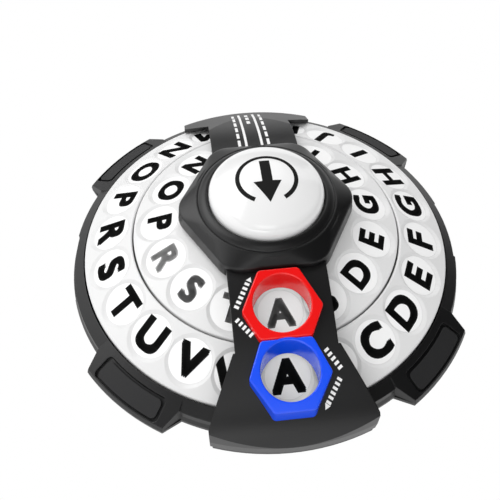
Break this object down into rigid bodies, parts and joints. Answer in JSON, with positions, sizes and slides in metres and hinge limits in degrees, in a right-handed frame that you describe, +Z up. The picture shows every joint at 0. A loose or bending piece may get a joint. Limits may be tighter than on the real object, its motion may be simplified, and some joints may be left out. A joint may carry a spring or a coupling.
{
  "type": "word game",
  "caption": "Table-top word game: two coaxial letter wheels counter-spin when a central dome button is pressed, read through two hexagonal windows on a bridge arm.",
  "frame": {"origin": "on the axis of the letter wheels, at the table under the centre foot", "axes": "+Z up along the wheels' axis; the front arm with the two windows lies towards -Y; +X to the player's right"},
  "size_m": [0.2228, 0.2322, 0.081],
  "materials": {
    "black_abs": "fine satin moulded surface",
    "grip_rubber": "matte, slightly lighter than the case",
    "foot_rubber": "matte",
    "white_wheel": "smooth satin to gloss",
    "white_gloss": "high gloss",
    "red_abs": "gloss",
    "blue_abs": "gloss",
    "natural_acetal": "smooth, slightly waxy",
    "plain_steel": "plain drawn wire and strip",
    "zinc_steel": "zinc plated"
  },
  "bodies": {
    "base": {"blue_window_frame": "blue_abs", "bottom_shell": "black_abs", "case_screw_front_left": "zinc_steel", "case_screw_front_right": "zinc_steel", "case_screw_rear_left": "zinc_steel", "case_screw_rear_right": "zinc_steel", "centre_foot": "foot_rubber", "centre_post": "natural_acetal", "collar_ring": "black_abs", "foot_front_left": "foot_rubber", "foot_front_right": "foot_rubber", "foot_rear_left": "foot_rubber", "foot_rear_right": "foot_rubber", "front_arm": "black_abs", "front_foot_screw_left": "zinc_steel", "front_foot_screw_right": "zinc_steel", "grip_pad_front_left": "grip_rubber", "grip_pad_front_right": "grip_rubber", "grip_pad_rear_left": "grip_rubber", "grip_pad_rear_right": "grip_rubber", "hub_cover": "black_abs", "hub_frame": "black_abs", "hub_screw_front_a": "zinc_steel", "hub_screw_front_b": "zinc_steel", "hub_screw_rear_a": "zinc_steel", "hub_screw_rear_b": "zinc_steel", "idler_pin_1": "plain_steel", "idler_pin_2": "plain_steel", "idler_pin_3": "plain_steel", "inner_click_spring": "plain_steel", "outer_click_spring": "plain_steel", "post_screw": "zinc_steel", "rear_arm": "black_abs", "rear_foot_screw_left": "zinc_steel", "rear_foot_screw_right": "zinc_steel", "red_window_frame": "red_abs", "return_spring": "plain_steel", "rim_ring": "black_abs"},
    "button": {"push_dome": "white_gloss", "plunger": "natural_acetal", "drive_bar": "plain_steel", "bar_screw": "zinc_steel"},
    "drive": {"drive_sleeve": "natural_acetal", "drive_nut": "natural_acetal", "nut_screw_left": "zinc_steel", "nut_screw_right": "zinc_steel", "upper_pawl_disc": "natural_acetal", "lower_pawl_disc": "natural_acetal"},
    "inner_letter_wheel": {"inner_wheel": "white_wheel"},
    "outer_letter_wheel": {"outer_wheel": "white_wheel", "ring_gear": "natural_acetal"},
    "sun": {"sun_gear": "natural_acetal"},
    "idler_1": {"idler_gear_1": "natural_acetal"},
    "idler_2": {"idler_gear_2": "natural_acetal"},
    "idler_3": {"idler_gear_3": "natural_acetal"}
  },
  "joints": [
    {"name": "button_press", "type": "slide", "parent": "base", "child": "button", "axis": [0, 0, -1], "range_m": [0, 0.008], "stiffness_N_per_m": 600, "springref_m": -0.008, "deforming": ["return_spring"]},
    {"name": "drive_turn", "type": "hinge", "parent": "base", "child": "drive", "pos_m": [0, 0, 0], "axis": [0, 0, 1], "range_deg": [0, 90]},
    {"name": "inner_wheel_spin", "type": "hinge", "parent": "base", "child": "inner_letter_wheel", "pos_m": [0, 0, 0], "axis": [0, 0, 1], "continuous": true},
    {"name": "outer_wheel_spin", "type": "hinge", "parent": "base", "child": "outer_letter_wheel", "pos_m": [0, 0, 0], "axis": [0, 0, 1], "continuous": true},
    {"name": "sun_spin", "type": "hinge", "parent": "base", "child": "sun", "pos_m": [0, 0, 0], "axis": [0, 0, 1], "continuous": true},
    {"name": "idler_1_spin", "type": "hinge", "parent": "base", "child": "idler_1", "pos_m": [0, 0.054, 0], "axis": [0, 0, 1], "continuous": true},
    {"name": "idler_2_spin", "type": "hinge", "parent": "base", "child": "idler_2", "pos_m": [-0.04677, -0.027, 0], "axis": [0, 0, 1], "continuous": true},
    {"name": "idler_3_spin", "type": "hinge", "parent": "base", "child": "idler_3", "pos_m": [0.04677, -0.027, 0], "axis": [0, 0, 1], "continuous": true}
  ],
  "couplings": [
    {"joint": "drive_turn", "follows": "button_press", "rad_per_m": 196.35},
    {"joint": "sun_spin", "follows": "outer_wheel_spin", "ratio": -2},
    {"joint": "idler_1_spin", "follows": "outer_wheel_spin", "ratio": 4},
    {"joint": "idler_2_spin", "follows": "outer_wheel_spin", "ratio": 4},
    {"joint": "idler_3_spin", "follows": "outer_wheel_spin", "ratio": 4}
  ]
}
